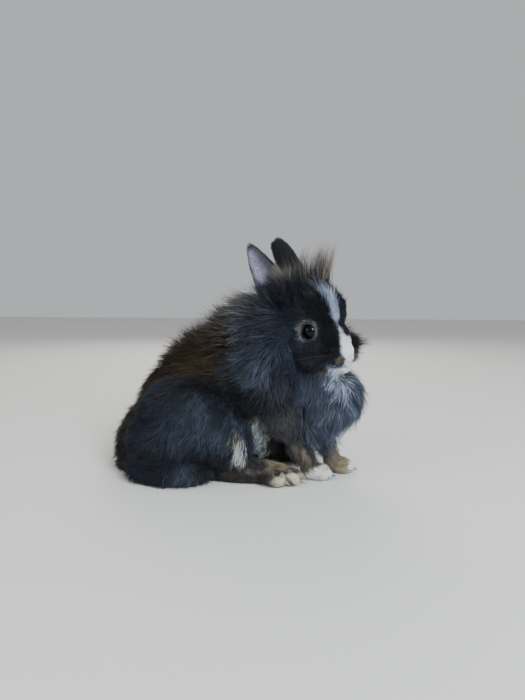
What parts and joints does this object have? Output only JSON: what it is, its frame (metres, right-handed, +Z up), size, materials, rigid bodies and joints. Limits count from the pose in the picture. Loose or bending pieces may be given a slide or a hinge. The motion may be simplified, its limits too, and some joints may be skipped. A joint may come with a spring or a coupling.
{
  "type": "lionhead rabbit",
  "caption": "Still, life-size young lionhead rabbit sitting with its head turned to its right, with a long mane, a fluffy coat and upright ears.",
  "frame": {"origin": "on the floor, below the middle of the bounding box", "axes": "+X the way the body faces, +Y the rabbit's left, +Z up"},
  "size_m": [0.2315, 0.1337, 0.1981],
  "materials": {
    "coat_back": "soft brown-black fur with a warm brown grain",
    "coat_flank": "soft blue-black fur",
    "coat_mane": "long charcoal hair with paler streaks",
    "coat_head": "short black fur with a white blaze",
    "coat_foot": "short golden brown and cream fur",
    "coat_ear": "short dark fur, pale grey skin inside",
    "eye": "wet black gloss"
  },
  "bodies": {
    "root": {"torso": "coat_back", "tail": "coat_back", "neck": "coat_mane", "chest": "coat_mane", "head": "coat_head", "ear_right": "coat_ear", "ear_left": "coat_ear", "eye_right": "eye", "eye_left": "eye", "haunch_right": "coat_flank", "haunch_left": "coat_flank", "foreleg_right": "coat_flank", "foreleg_left": "coat_flank", "hind_foot_right": "coat_foot", "hind_foot_left": "coat_foot", "forepaw_right": "coat_foot", "forepaw_left": "coat_foot"}
  },
  "joints": []
}
